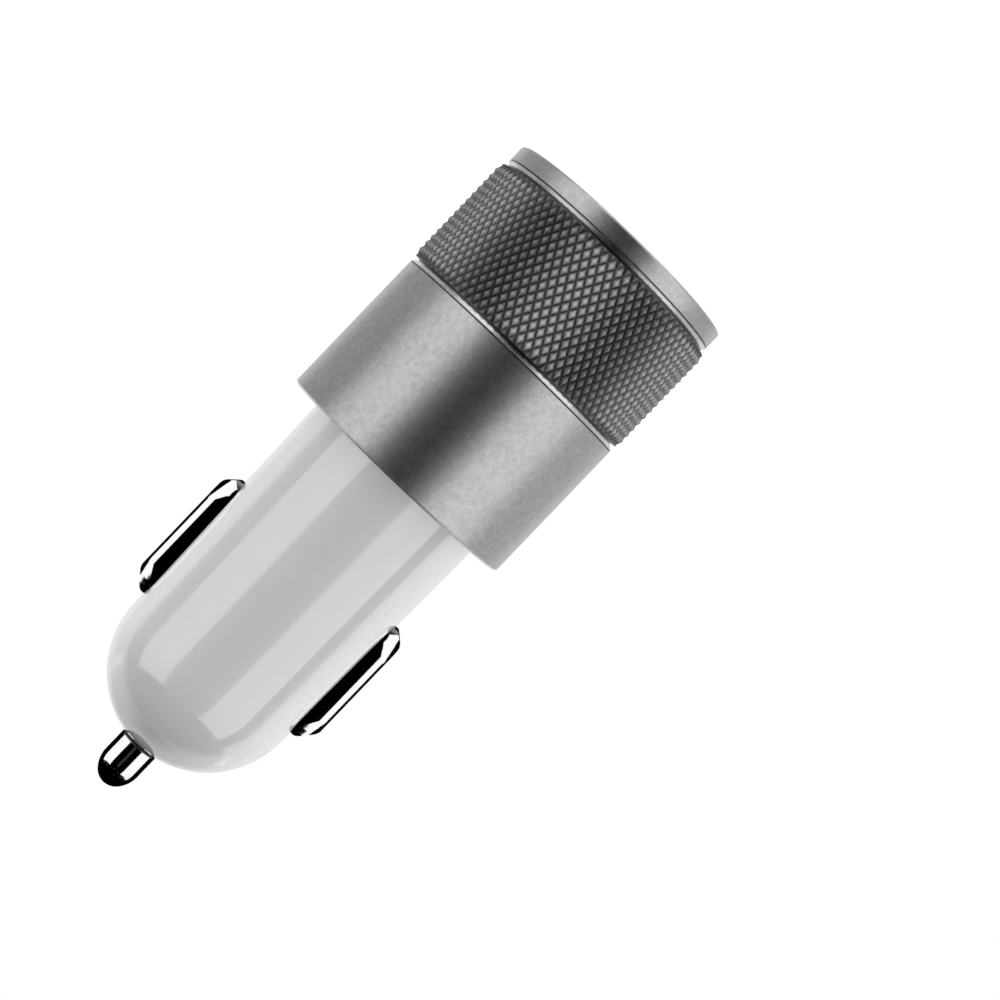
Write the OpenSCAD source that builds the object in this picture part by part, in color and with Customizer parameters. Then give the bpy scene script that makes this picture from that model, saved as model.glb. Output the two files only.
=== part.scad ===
/* [Sleeve] */
// Diameter of the smooth part of the metal sleeve
sleeve_d = 26.1; // [25.8:0.1:30]
// Diameter of the plain rim at the socket end
rim_d = 25.7; // [25.6:0.1:29]
// Diameter over the points of the knurl
knurl_d = 26.6; // [26.3:0.1:31]
// Diameter of the narrow grooves on both sides of the knurl
groove_d = 25.0; // [24.6:0.1:25.2]
// Height of the rim with its score line, bevel and groove
rim_len = 2.55; // [2.4:0.05:4]
// Length of the knurled band
knurl_len = 11.85; // [8:0.05:16]
// Length of the smooth part, from the knurl to the sleeve's end
smooth_len = 16.4; // [14:0.1:24]
// Width of the groove beside the knurl
groove_w = 0.25; // [0.15:0.05:0.5]
// Width of the fine score line beside each bevel
score_w = 0.14; // [0.1:0.02:0.3]
// Depth of the fine score line
score_depth = 0.09; // [0.05:0.01:0.2]
// Land between a score line and its bevel
score_land = 0.06; // [0.04:0.02:0.2]
// Rounding of the rim's outer edge
rim_round = 0.3; // [0.1:0.05:0.6]
// Bevel between the groove beyond the knurl and the smooth part
smooth_bevel = 0.35; // [0.1:0.05:0.5]
// Bevel at the inner edge of the rim and round the barrel's hole
inner_bevel = 0.25; // [0.1:0.05:0.5]
// Bevel at the sleeve's end beside the barrel
end_bevel = 0.22; // [0.1:0.02:0.5]
// Diameter of the bore that holds the insert
bore_d = 23.0; // [22.4:0.1:23.6]
// Thickness of the sleeve's end wall
end_wall = 1.5; // [1:0.1:3]

/* [Knurl] */
// Number of diamonds round the sleeve
knurl_count = 88; // [60:4:100]
// Number of half diamonds along the band
knurl_rows = 15; // [9:1:17]
// Depth of the knurl's grooves below its points
knurl_depth = 0.36; // [0.2:0.02:0.5]
// How far the end rows of points are turned down
knurl_end_drop = 0.2; // [0.1:0.02:0.3]

/* [Barrel] */
// Diameter of the barrel where it leaves the sleeve
barrel_d = 20.2; // [19.6:0.1:20.8]
// Diameter of the barrel where the round nose starts
nose_d = 19.2; // [18.6:0.1:19.6]
// Length of the tapered barrel, from the sleeve's end to the nose's centre
barrel_len = 25.7; // [25:0.1:32]
// Diameter of the flat land round the tip
land_d = 5.5; // [5:0.1:7]
// Wall of the barrel
barrel_wall = 1.5; // [1.2:0.1:1.7]
// Wall of the wide head inside the sleeve
head_wall = 1.2; // [1:0.1:1.4]
// Radial gap between the head and the sleeve's bore
head_fit = 0.05; // [0.03:0.01:0.1]
// Radial gap between the barrel and the hole in the sleeve's end
mouth_gap = 0.2; // [0.1:0.05:0.4]
// Thickness of the plastic that the tip passes through
nose_wall = 3.2; // [2.6:0.1:4]
// Depth of the guide tube below the land
tube_depth = 15.2; // [14.8:0.1:16]
// Wall of the guide tube
tube_wall = 1.2; // [0.8:0.1:1.6]
// Thickness of the ribs that hold the circuit board
rail_t = 0.9; // [0.6:0.1:1.4]
// How far the ribs reach over the circuit board
rail_reach = 1.2; // [0.8:0.1:1.6]

/* [Face plate] */
// Depth of the face plate below the rim
face_recess = 0.6; // [0.3:0.1:1]
// Thickness of the face plate
plate_t = 1.6; // [1.2:0.1:2.2]
// Length of the face plate's skirt
skirt_len = 2.9; // [2:0.1:4]
// Wall of the face plate's skirt
skirt_wall = 1.3; // [1:0.1:1.6]
// Lead-in bevel round each socket opening
port_bevel = 0.45; // [0.2:0.05:0.6]

/* [Sockets] */
// Inside width of a socket
port_w = 12.5; // [12.3:0.1:12.7]
// Inside height of a socket
port_h = 5.12; // [5:0.02:5.3]
// Thickness of the socket's sheet metal
shell_t = 0.3; // [0.2:0.05:0.4]
// Depth of the socket's shell
shell_len = 14; // [13:0.1:15]
// Corner radius inside the socket
port_corner = 0.5; // [0.3:0.1:0.8]
// Gap between a socket's mouth and the face plate
shell_gap = 0.1; // [0.05:0.05:0.3]
// Thickness of the contact tongue
tongue_t = 1.84; // [1.7:0.02:1.9]
// Width of the contact tongue
tongue_w = 11.1; // [10.8:0.1:11.4]
// Distance from the socket's mouth to the tongue's end
tongue_setback = 1.5; // [1.3:0.1:2.5]
// Distance from the socket's middle to the tongue's contact face
tongue_rise = 0.05; // [0:0.01:0.1]
// Length of the block at the back of the socket
block_len = 3.6; // [3:0.1:4.4]
// Width of one contact strip
pin_w = 1.0; // [0.8:0.05:1.1]
// Thickness of one contact strip
pin_t = 0.25; // [0.2:0.05:0.3]
// Distance of the two inner contact strips from the middle
pin_inner_x = 1.0; // [0.9:0.05:1.1]
// Distance of the two outer contact strips from the middle
pin_outer_x = 3.5; // [3.3:0.05:3.6]

/* [Circuit board] */
// Thickness of the circuit board
board_t = 1.6; // [1:0.1:1.8]
// Width of the circuit board in the head
board_head_w = 19.4; // [18.8:0.1:19.6]
// Width of the circuit board in the barrel
board_w = 12.4; // [11.8:0.1:12.6]
// Gap under everything that is soldered to the board
solder_gap = 0.04; // [0.02:0.01:0.1]

/* [Centre tip] */
// Diameter of the tip
tip_d = 4.08; // [3.8:0.02:4.4]
// How far the tip stands out of the barrel
tip_proud = 5.35; // [4.8:0.05:6.5]
// Travel of the tip when it is pressed in
tip_travel = 3; // [2:0.1:3.6]
// Radius of the arc between the tip's side and its end
tip_arc_r = 2.9; // [2.6:0.1:3.4]
// Rounding of the very end of the tip
tip_end_r = 1.75; // [1.3:0.05:1.8]
// Depth of the relief groove behind the head
neck_depth = 0.5; // [0.3:0.05:0.7]
// Radial running gap between the tip and its hole
tip_fit = 0.09; // [0.05:0.01:0.1]
// Diameter of the collar that stops the tip
collar_d = 6.3; // [6:0.1:6.6]
// Thickness of the collar
collar_t = 1.4; // [1:0.1:1.8]
// Radial gap between the collar and the guide tube
collar_fit = 0.2; // [0.1:0.05:0.3]
// Diameter of the pin that keeps the spring straight
tail_d = 2.6; // [2.2:0.1:3]
// Length of the pin below the collar
tail_len = 3.4; // [2.6:0.1:4]

/* [Tip spring] */
// Wire diameter of the tip's spring
wire_d = 0.45; // [0.35:0.05:0.6]
// Mean diameter of the spring's coils
coil_d = 4.6; // [4.2:0.1:4.9]
// Number of turns, with the closed turns at both ends
coil_turns = 7; // [6:1:8]
// Thickness of the spring's seat
seat_t = 0.5; // [0.4:0.1:0.8]
// Diameter of the spring's seat
seat_d = 6.4; // [6:0.1:6.6]
// Length of the legs that grip the circuit board
seat_leg = 2.6; // [2:0.1:3]

/* [Side contacts] */
// Distance over the two side contacts
contact_span = 23.2; // [22.6:0.1:23.8]
// Length of a side contact outside the barrel
contact_len = 14.15; // [13:0.05:15]
// Width of a side contact
contact_w = 4.2; // [3.6:0.1:4.8]
// Distance from the sleeve's end to the side contacts
contact_offset = 10.35; // [9.8:0.05:11]
// Rounding of the side contacts' long edges
contact_edge_r = 1.2; // [1:0.1:1.7]
// Radius of the long curve that makes the side contacts rounder towards their ends
contact_bow_r = 23.5; // [20:0.5:30]
// Sheet thickness of the side contacts
contact_t = 0.4; // [0.3:0.05:0.5]
// Height of the side contacts' blunt ends above the barrel
contact_step = 0.35; // [0.2:0.05:0.6]
// Length of the slope at the socket end
contact_ramp_a = 1.15; // [0.9:0.05:1.6]
// Length of the slope at the nose end
contact_ramp_b = 1.75; // [1.3:0.05:2.2]
// Rounding between a slope and the outer run
contact_shoulder_r = 0.9; // [0.6:0.05:1.2]
// Gap between a side contact and its window
window_gap = 0.2; // [0.15:0.05:0.4]
// Length of the feet behind the barrel's wall
foot_len = 1.5; // [1.1:0.1:1.8]
// Gap between a foot and the barrel's inner wall
foot_gap = 0.15; // [0.1:0.05:0.3]
// Gap between the contact's tail and the circuit board
tail_gap = 0.1; // [0.05:0.05:0.2]

/* [Parts on the board] */
// Diameter of the can capacitors
cap_d = 6.3; // [5:0.1:6.4]
// Height of the can capacitors
cap_h = 5.6; // [4.6:0.1:5.8]
// Diameter of the inductor
coil_core_d = 7; // [6:0.1:7.4]
// Height of the inductor
coil_core_h = 4.8; // [4:0.1:5]
// Diameter of the inductor's core between its flanges
coil_neck_d = 3.15; // [2.6:0.05:3.6]
// Thickness of the inductor's flanges
coil_flange_t = 0.9; // [0.6:0.1:1.1]
// Number of layers that show on the inductor's winding
coil_layers = 7; // [5:1:9]
// Length of the converter chip
chip_l = 4.9; // [4.4:0.1:5.2]
// Width of the converter chip's body
chip_w = 3.9; // [3.4:0.1:4.2]
// Height of the converter chip
chip_h = 1.5; // [1.2:0.1:1.8]
// Distance between the leads of the converter chip
chip_pitch = 1.27; // [1:0.01:1.3]
// How far a chip's leads reach out of its body
lead_reach = 1.05; // [0.8:0.05:1.1]
// Length of the charge control chip
small_chip_l = 2.9; // [2.6:0.1:3.1]
// Width of the charge control chip's body
small_chip_w = 1.6; // [1.4:0.1:1.8]
// Height of the charge control chip
small_chip_h = 1.1; // [0.9:0.1:1.3]
// Distance between the leads of the charge control chip
small_chip_pitch = 0.95; // [0.8:0.05:1]
// Length of the diode's body
diode_l = 4.3; // [4:0.1:4.6]
// Width of the diode's body
diode_w = 2.6; // [2.2:0.1:2.9]
// Height of the diode's body
diode_h = 2.1; // [1.8:0.1:2.4]
// Length of the fuse
fuse_l = 6.1; // [5.6:0.1:6.4]
// Width and height of the fuse
fuse_w = 2.4; // [2:0.1:2.6]
// Length of the fuse's end caps
fuse_cap_l = 1.1; // [0.8:0.1:1.4]
// Length of the small chip resistors and capacitors
chip2_l = 2; // [1.6:0.1:2.1]
// Width of the small chip resistors and capacitors
chip2_w = 1.25; // [0.8:0.05:1.3]
// Height of the small chip resistors
resistor_h = 0.5; // [0.4:0.05:0.7]
// Height of the small chip capacitors
small_cap_h = 0.9; // [0.7:0.05:1.1]
// Length of the end caps of the small resistors and capacitors
chip2_cap_l = 0.4; // [0.3:0.05:0.5]
// Gap between parts that follow each other along the board
part_gap = 0.3; // [0.2:0.05:0.4]

/* [Hidden] */
$fn = 96;
// Overlap of cutters past a face
eps = 0.05;
// Far enough past any wall for a cutter
far = 20;

// Sleeve, measured from the rim's face at z = 0 towards the tip
sleeve_r = sleeve_d / 2;
rim_r = rim_d / 2;
knurl_r = knurl_d / 2;
groove_r = groove_d / 2;
bore_r = bore_d / 2;
knurl_z0 = rim_len;
knurl_z1 = rim_len + knurl_len;
sleeve_z1 = knurl_z1 + smooth_len;
shoulder_z = sleeve_z1 - end_wall;
mouth_r = barrel_d / 2 + mouth_gap;
// The knurl's ring is sunk into the wall by this much
knurl_sink = 0.4;

// Barrel: a slow taper that runs smoothly into a round nose
barrel_r = barrel_d / 2;
nose_z = sleeve_z1 + barrel_len;
taper_angle = atan((barrel_r - nose_d / 2) / barrel_len);
nose_r = nose_d / 2 / cos(taper_angle);
join_z = nose_z + nose_r * sin(taper_angle);
join_r = nose_r * cos(taper_angle);
land_z = nose_z + sqrt(nose_r * nose_r - land_d * land_d / 4);
head_r = bore_r - head_fit;
head_in_r = head_r - head_wall;
head_z0 = face_recess + plate_t + skirt_len + shell_gap;
head_in_z1 = shoulder_z - head_wall;

// Tip and its guide tube
tip_r = tip_d / 2;
tip_hole_r = tip_r + tip_fit;
tip_z1 = land_z + tip_proud;
stop_z = land_z - nose_wall;
tube_in_r = collar_d / 2 + collar_fit;
tube_r = tube_in_r + tube_wall;
tube_z0 = land_z - tube_depth;
collar_gap = 0.05;
collar_z1 = stop_z - collar_gap;
collar_z0 = collar_z1 - collar_t;
tail_z0 = collar_z0 - tail_len;
tail_bevel = 0.3;
neck_z = land_z + 0.05;
seat_gap = 0.2;
seat_z1 = tube_z0 - seat_gap;
seat_z0 = seat_z1 - seat_t;
// The boss on the spring's seat stops the tip at the end of its travel
boss_gap = 0.1;
boss_r = 1.3;
boss_end_r = 1.0;
boss_h = tail_z0 - tip_travel - boss_gap - seat_z1;
seat_leg_t = 0.3;
seat_leg_w = 1.6;
// The spring's closed end turns, and its play between seat and collar
spring_gap = 0.02;
closed_pitch = wire_d + 0.03;
oval_offset = tip_arc_r - tip_r;
oval_len = sqrt(pow(tip_arc_r - tip_end_r, 2) - oval_offset * oval_offset) + tip_end_r;
oval_z = tip_z1 - oval_len;

// Face plate and sockets
plate_z0 = face_recess;
plate_z1 = plate_z0 + plate_t;
skirt_z1 = plate_z1 + skirt_len;
shell_z0 = plate_z1 + shell_gap;
shell_z1 = shell_z0 + shell_len;
port_y = board_t / 2 + solder_gap + shell_t + port_h / 2;
aperture_gap = 0.05;
tongue_z0 = shell_z0 + tongue_setback;
block_z0 = shell_z1 - block_len;
tongue_y0 = port_y + tongue_rise;
block_fit = 0.05;
pin_gap = 0.03;
pin_proud = 0.05;
pin_setback = 0.7;
shell_leg_w = 1.4;
shell_leg_depth = 0.7;
shell_leg_mouth = 3.2;
shell_leg_back = 2.6;
shell_leg_z = [shell_z0 + shell_leg_mouth, shell_z1 - shell_leg_back];
leg_slot_gap = 0.1;
// Spring fingers cut from the shell's walls and bent inwards
finger_w = 1.7;
finger_l = 5;
finger_slot = 0.3;
finger_setback = 2.2;
finger_t = shell_t - 0.06;
finger_tilt = 4;

// Circuit board
board_setback = 0.5;
board_z0 = shell_z0 + board_setback;
board_z1 = seat_z0 - solder_gap;
board_shoulder = 2.6;
board_step_z0 = head_in_z1 - board_shoulder;
board_step_z1 = board_step_z0 + (board_head_w - board_w) / 2;
board_y = board_t / 2;
part_y = board_y + solder_gap;
board_hole_d = 1;
board_hole_inset = 1.6;
board_hole_setback = 1.5;
rail_gap = 0.08;
rail_setback = 1;
// Parts that follow each other along the board, from the spring seat's legs
// back towards the sockets: diode, converter chip and input capacitor behind,
// fuse and inductor in front
leg_room = 0.5;
leg_zone_z = seat_z0 - seat_leg - leg_room;
can_foot = cap_d + 0.3;
diode_z = leg_zone_z - diode_w / 2;
chip_z = diode_z - diode_w / 2 - part_gap - chip_w / 2 - lead_reach;
input_cap_z = chip_z - chip_w / 2 - lead_reach - part_gap - can_foot / 2;
fuse_z = leg_zone_z - fuse_l / 2;
inductor_z = fuse_z - fuse_l / 2 - part_gap - coil_core_d / 2;
// Parts that follow the sockets' shells
shell_room = 1.3;
output_cap_z = shell_z1 + shell_room + can_foot / 2;
output_cap_x = 4.4;
small_chip_z = shell_z1 + shell_room + small_chip_w / 2 + lead_reach;
small_chip_x = 3.6;
row_z = small_chip_z + small_chip_w / 2 + lead_reach + 4 * part_gap + chip2_l / 2;
row_x = 1.2;
row_gap = 0.7;
back_row_z = shell_z1 + shell_room + chip2_l / 2;
back_row_gap = 1.2;
edge_room = 0.45;
edge_part_x = board_w / 2 - chip2_w / 2 - edge_room;

// Side contacts
contact_r = contact_span / 2;
contact_z0 = sleeve_z1 + contact_offset;
contact_z1 = contact_z0 + contact_len;
tail_w = 1.2;
tail_reach = 1;
plan_corner = 1.6;
contact_mid_z = (contact_z0 + contact_z1) / 2;
// Half the distance over which a contact is at least as round as it is wide
bow_reach = contact_len / 2 - (contact_ramp_a + contact_ramp_b) / 2;
bow_mid_r = contact_w / 2 + contact_bow_r - sqrt(pow(contact_bow_r, 2) - pow(bow_reach, 2));
// The contacts' forms and their windows start at this distance from the axis
contact_in_r = tube_r + 1;

// Radius of the barrel's outside at a height
function barrel_out(z) =
    z < join_z
        ? barrel_r - (z - sleeve_z1) * tan(taper_angle)
        : sqrt(max(0, nose_r * nose_r - pow(z - nose_z, 2)));

// Radius of the barrel's inside at a height
function barrel_in(z) =
    z < join_z
        ? barrel_out(z) - barrel_wall
        : sqrt(max(0, pow(nose_r - barrel_wall, 2) - pow(z - nose_z, 2)));

// Points of an arc about a centre
function arc(centre, r, a0, a1, steps = 8) = [
    for (i = [0 : steps])
        let (a = a0 + (a1 - a0) * i / steps)
            centre + r * [cos(a), sin(a)]
];

// Point at a radius, an angle and a height
function ring_point(r, a, z) = [r * cos(a), r * sin(a), z];

// Rectangle with round corners, centred
module round_rect(w, h, r) {
    square([w - 2 * r, h], center = true);
    square([w, h - 2 * r], center = true);
    for (x = [-1, 1])
        for (y = [-1, 1])
            translate([x * (w / 2 - r), y * (h / 2 - r)])
                circle(r = r, $fn = 32);
}

// Upright box between two corners
module box(low, high) {
    translate(low)
        cube(high - low);
}

// Draws on the back side of the board, or mirrored on its front
module side_of_board(front) {
    mirror([0, front ? 1 : 0, 0])
        children();
}

// Ring of diamond points: every diamond is a four-sided pyramid between four
// groove crossings, and its neighbours in the next row are half a pitch round
module knurl_ring() {
    n = knurl_count;
    last = knurl_rows;
    root_r = knurl_r - knurl_depth;
    core_r = groove_r - knurl_sink;
    step_a = 360 / n;
    step_z = knurl_len / last;
    crossings = [
        for (k = [0 : last])
            for (i = [0 : n - 1])
                ring_point(root_r, (i + (k % 2) / 2) * step_a, knurl_z0 + k * step_z)
    ];
    peaks = [
        for (k = [0 : last])
            let (r = (k == 0 || k == last) ? knurl_r - knurl_end_drop : knurl_r)
                for (i = [0 : n - 1])
                    ring_point(r, (i + 0.5 + (k % 2) / 2) * step_a, knurl_z0 + k * step_z)
    ];
    inner = [
        for (k = [0, last])
            for (i = [0 : n - 1])
                ring_point(core_r, (i + 0.5 + (k % 2) / 2) * step_a, knurl_z0 + k * step_z)
    ];
    row = n * (last + 1);
    faces_up = [
        for (k = [0 : last - 1])
            for (i = [0 : n - 1])
                let (
                    p = row + k * n + i,
                    left = k * n + i,
                    right = k * n + (i + 1) % n,
                    top = (k + 1) * n + (i + k % 2) % n
                )
                    each [[left, top, p], [p, top, right]]
    ];
    faces_down = [
        for (k = [1 : last])
            for (i = [0 : n - 1])
                let (
                    p = row + k * n + i,
                    left = k * n + i,
                    right = k * n + (i + 1) % n,
                    bottom = (k - 1) * n + (i + k % 2) % n
                )
                    each [[left, p, bottom], [bottom, p, right]]
    ];
    in0 = 2 * row;
    in1 = in0 + n;
    end_low = [
        for (i = [0 : n - 1])
            let (j = (i + 1) % n, p = row + i)
                each [[i, p, in0 + i], [p, j, in0 + i], [j, in0 + j, in0 + i]]
    ];
    end_high = [
        for (i = [0 : n - 1])
            let (j = (i + 1) % n, p = row + last * n + i, c = last * n)
                each [
                    [c + i, in1 + i, p],
                    [p, in1 + i, c + j],
                    [c + j, in1 + i, in1 + j]
                ]
    ];
    turn = last % 2;
    wall = [
        for (i = [0 : n - 1])
            let (j = (i + 1) % n, before = (i + n - 1) % n)
                each turn == 0
                    ? [[in0 + i, in0 + j, in1 + i], [in0 + j, in1 + j, in1 + i]]
                    : [[in0 + i, in1 + i, in1 + before], [in0 + i, in0 + j, in1 + i]]
    ];
    polyhedron(
        points = concat(crossings, peaks, inner),
        faces = concat(faces_up, faces_down, end_low, end_high, wall),
        convexity = 4
    );
}

// Turned outline of the sleeve from the rim to the far end and back inside
function sleeve_outline() =
    let (
        bevel = rim_r - groove_r,
        bevel_z = knurl_z0 - groove_w - bevel,
        score_z = bevel_z - score_land - score_w / 2,
        far_groove_z = knurl_z1 + groove_w,
        far_bevel_z = far_groove_z + smooth_bevel,
        far_score_z = far_bevel_z + score_land + score_w / 2
    )
        concat(
            [[bore_r + inner_bevel, 0]],
            arc([rim_r - rim_round, rim_round], rim_round, -90, 0, 5),
            [
                [rim_r, score_z - score_w / 2],
                [rim_r - score_depth, score_z],
                [rim_r, score_z + score_w / 2],
                [rim_r, bevel_z],
                [groove_r, knurl_z0 - groove_w],
                [groove_r, far_groove_z],
                [sleeve_r - smooth_bevel, far_groove_z],
                [sleeve_r, far_bevel_z],
                [sleeve_r, far_score_z - score_w / 2],
                [sleeve_r - score_depth, far_score_z],
                [sleeve_r, far_score_z + score_w / 2],
                [sleeve_r, sleeve_z1 - end_bevel],
                [sleeve_r - end_bevel, sleeve_z1],
                [mouth_r + inner_bevel, sleeve_z1],
                [mouth_r, sleeve_z1 - inner_bevel],
                [mouth_r, shoulder_z],
                [bore_r, shoulder_z],
                [bore_r, inner_bevel]
            ]
        );

module sleeve() {
    color([0.56, 0.57, 0.59]) {
        rotate_extrude()
            polygon(sleeve_outline());
        knurl_ring();
    }
}

// Outside of the barrel above the sleeve's end wall, grown by a gap
module barrel_form(grow) {
    translate([0, 0, sleeve_z1])
        cylinder(h = join_z - sleeve_z1, r1 = barrel_r + grow, r2 = join_r + grow);
    intersection() {
        translate([0, 0, nose_z])
            sphere(r = nose_r + grow);
        translate([0, 0, join_z])
            cylinder(h = nose_r + grow, r = barrel_r);
    }
}

// One pair of ribs that holds an edge of the circuit board
module board_rail(side) {
    edge = board_head_w / 2;
    stop = board_step_z0 - rail_setback;
    intersection() {
        translate([0, 0, shell_z1])
            cylinder(h = stop - shell_z1, r = head_in_r + head_wall / 2);
        for (y = [-1, 1])
            translate([
                side * (edge - rail_reach + far / 2),
                y * (board_y + rail_gap + rail_t / 2),
                stop / 2
            ])
                cube([far, rail_t, stop], center = true);
    }
}

// Opening in the barrel's wall for a side contact
module contact_window(side) {
    translate([side * contact_r, 0, contact_mid_z])
        rotate([0, 90, 0])
            linear_extrude(height = 2 * (contact_r - contact_in_r), center = true)
                round_rect(
                    contact_len + 2 * window_gap, contact_w + 2 * window_gap, plan_corner + window_gap
                );
}

module barrel() {
    color([0.93, 0.93, 0.92])
        difference() {
            union() {
                difference() {
                    union() {
                        translate([0, 0, head_z0])
                            cylinder(h = shoulder_z - head_z0, r = head_r);
                        translate([0, 0, shoulder_z - eps])
                            cylinder(h = sleeve_z1 - shoulder_z + 2 * eps, r = barrel_r);
                        barrel_form(0);
                    }
                    translate([0, 0, head_z0 - eps])
                        cylinder(h = head_in_z1 - head_z0 + eps, r = head_in_r);
                    translate([0, 0, head_in_z1 - eps])
                        cylinder(h = sleeve_z1 - head_in_z1 + 2 * eps, r = barrel_r - barrel_wall);
                    barrel_form(-barrel_wall);
                }
                intersection() {
                    translate([0, 0, tube_z0])
                        cylinder(h = land_z - tube_z0, r = tube_r);
                    union() {
                        translate([0, 0, tube_z0])
                            cylinder(h = join_z - tube_z0, r = tube_r);
                        translate([0, 0, nose_z])
                            sphere(r = nose_r);
                    }
                }
                for (side = [-1, 1])
                    board_rail(side);
            }
            translate([0, 0, tube_z0 - eps])
                cylinder(h = stop_z - tube_z0 + eps, r = tube_in_r);
            translate([0, 0, stop_z - eps])
                cylinder(h = far, r = tip_hole_r);
            translate([0, 0, land_z])
                cylinder(h = far, r = nose_r);
            for (side = [-1, 1])
                contact_window(side);
        }
}

// Opening of one socket through the face plate, with its sloped lead-in
module port_opening() {
    w = port_w + 2 * aperture_gap;
    h = port_h + 2 * aperture_gap;
    translate([0, port_y, plate_z0 - eps])
        linear_extrude(height = plate_t + 2 * eps)
            round_rect(w, h, port_corner);
    hull() {
        translate([0, port_y, plate_z0 - eps])
            linear_extrude(height = eps)
                round_rect(w + 2 * port_bevel, h + 2 * port_bevel, port_corner + port_bevel);
        translate([0, port_y, plate_z0 + port_bevel])
            linear_extrude(height = eps)
                round_rect(w, h, port_corner);
    }
}

module face_plate() {
    color([0.93, 0.93, 0.92])
        difference() {
            rotate_extrude()
                polygon([
                    [0, plate_z0],
                    [head_r - inner_bevel, plate_z0],
                    [head_r, plate_z0 + inner_bevel],
                    [head_r, skirt_z1],
                    [head_r - skirt_wall, skirt_z1],
                    [head_r - skirt_wall, plate_z1],
                    [0, plate_z1]
                ]);
            for (front = [false, true])
                side_of_board(front)
                    port_opening();
        }
}

// Outline of the circuit board: wide between the ribs, narrow in the barrel
module board_outline() {
    polygon([
        [-board_head_w / 2, board_z0],
        [board_head_w / 2, board_z0],
        [board_head_w / 2, board_step_z0],
        [board_w / 2, board_step_z1],
        [board_w / 2, board_z1],
        [-board_w / 2, board_z1],
        [-board_w / 2, board_step_z1],
        [-board_head_w / 2, board_step_z0]
    ]);
}

module circuit_board() {
    leg_x = port_w / 2 + shell_t / 2;
    color([0.08, 0.36, 0.2])
        rotate([90, 0, 0])
            linear_extrude(height = board_t, center = true)
                difference() {
                    board_outline();
                    for (x = [-leg_x, leg_x])
                        for (z = shell_leg_z)
                            translate([x, z])
                                square(
                                    [shell_t + 2 * leg_slot_gap, shell_leg_w + 2 * leg_slot_gap],
                                    center = true
                                );
                    for (x = [-1, 1])
                        translate([
                            x * (board_w / 2 - board_hole_inset),
                            board_step_z1 + board_hole_setback
                        ])
                            circle(r = board_hole_d / 2, $fn = 32);
                }
}

// Folded shell of a socket, with its spring fingers and soldered legs
module usb_shell(front) {
    outer_w = port_w + 2 * shell_t;
    outer_h = port_h + 2 * shell_t;
    finger_z = shell_z0 + finger_setback;
    finger_y = (port_h + shell_t) / 2;
    slot_w = finger_w + 2 * finger_slot;
    leg_reach = port_corner + shell_t + shell_leg_depth;
    leg_y = board_y + (port_corner + shell_t - shell_leg_depth) / 2;
    color([0.78, 0.79, 0.8])
        side_of_board(front) {
            difference() {
                translate([0, port_y, shell_z0])
                    linear_extrude(height = shell_len)
                        difference() {
                            round_rect(outer_w, outer_h, port_corner + shell_t);
                            round_rect(port_w, port_h, port_corner);
                        }
                for (x = [-1, 1])
                    for (y = [-1, 1])
                        translate([x * port_w / 4, port_y + y * finger_y, finger_z + finger_l / 2])
                            cube([slot_w, 2 * shell_t, finger_l + finger_slot], center = true);
            }
            for (x = [-1, 1])
                for (y = [-1, 1])
                    translate([
                        x * port_w / 4,
                        port_y + y * finger_y,
                        finger_z + finger_l + finger_slot
                    ])
                        rotate([-y * finger_tilt, 0, 0])
                            translate([0, 0, -finger_l / 2])
                                cube([finger_w, finger_t, finger_l], center = true);
            for (x = [-1, 1])
                for (z = shell_leg_z)
                    translate([x * (port_w + shell_t) / 2, leg_y, z])
                        cube([shell_t, leg_reach, shell_leg_w], center = true);
        }
}

// Path of one contact strip, seen from the side: along the tongue, out of the
// back of the block and down to the board
module pin_outline(grow) {
    top = tongue_y0 - pin_proud;
    z_end = shell_z1 + pin_gap;
    polygon([
        [top - grow, tongue_z0 + pin_setback],
        [top + pin_t + grow, tongue_z0 + pin_setback],
        [top + pin_t + grow, z_end + pin_t],
        [part_y, z_end + pin_t],
        [part_y, z_end],
        [top - grow, z_end]
    ]);
}

// One contact strip at a distance from the middle of the socket
module pin(x, grow) {
    translate([x, 0, 0])
        rotate([90, 0, 90])
            linear_extrude(height = pin_w + 2 * grow, center = true)
                pin_outline(grow);
}

module usb_contacts(front) {
    color([0.83, 0.68, 0.36])
        side_of_board(front)
            for (x = [-pin_outer_x, -pin_inner_x, pin_inner_x, pin_outer_x])
                pin(x, 0);
}

module usb_tongue(front) {
    color([0.9, 0.9, 0.88])
        side_of_board(front)
            difference() {
                union() {
                    translate([0, port_y, block_z0])
                        linear_extrude(height = block_len)
                            round_rect(port_w - 2 * block_fit, port_h - 2 * block_fit, port_corner);
                    box(
                        [-tongue_w / 2, tongue_y0, tongue_z0],
                        [tongue_w / 2, tongue_y0 + tongue_t, block_z0 + eps]
                    );
                }
                for (x = [-pin_outer_x, -pin_inner_x, pin_inner_x, pin_outer_x])
                    pin(x, pin_gap);
            }
}

// Turned outline of the tip: tail pin, collar, shank, relief groove and an
// oval head of two arcs
function tip_outline() =
    let (
        arc_end = acos(oval_offset / (tip_arc_r - tip_end_r)),
        oval_c = [-oval_offset, oval_z],
        end_c = [0, tip_z1 - tip_end_r],
        neck_r = tip_r - neck_depth
    )
        concat(
            [
                [0, tail_z0],
                [tail_d / 2 - tail_bevel, tail_z0],
                [tail_d / 2, tail_z0 + tail_bevel],
                [tail_d / 2, collar_z0],
                [collar_d / 2, collar_z0],
                [collar_d / 2, collar_z1],
                [tip_r, collar_z1],
                [tip_r, neck_z - 2 * neck_depth],
                [neck_r, neck_z - neck_depth],
                [neck_r, neck_z]
            ],
            arc([neck_r, neck_z + neck_depth], neck_depth, -90, 0, 8),
            arc(oval_c, tip_arc_r, 0, arc_end, 16),
            arc(end_c, tip_end_r, arc_end, 90, 12)
        );

module tip_contact() {
    color([0.8, 0.81, 0.82])
        rotate_extrude()
            polygon(tip_outline());
}

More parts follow.
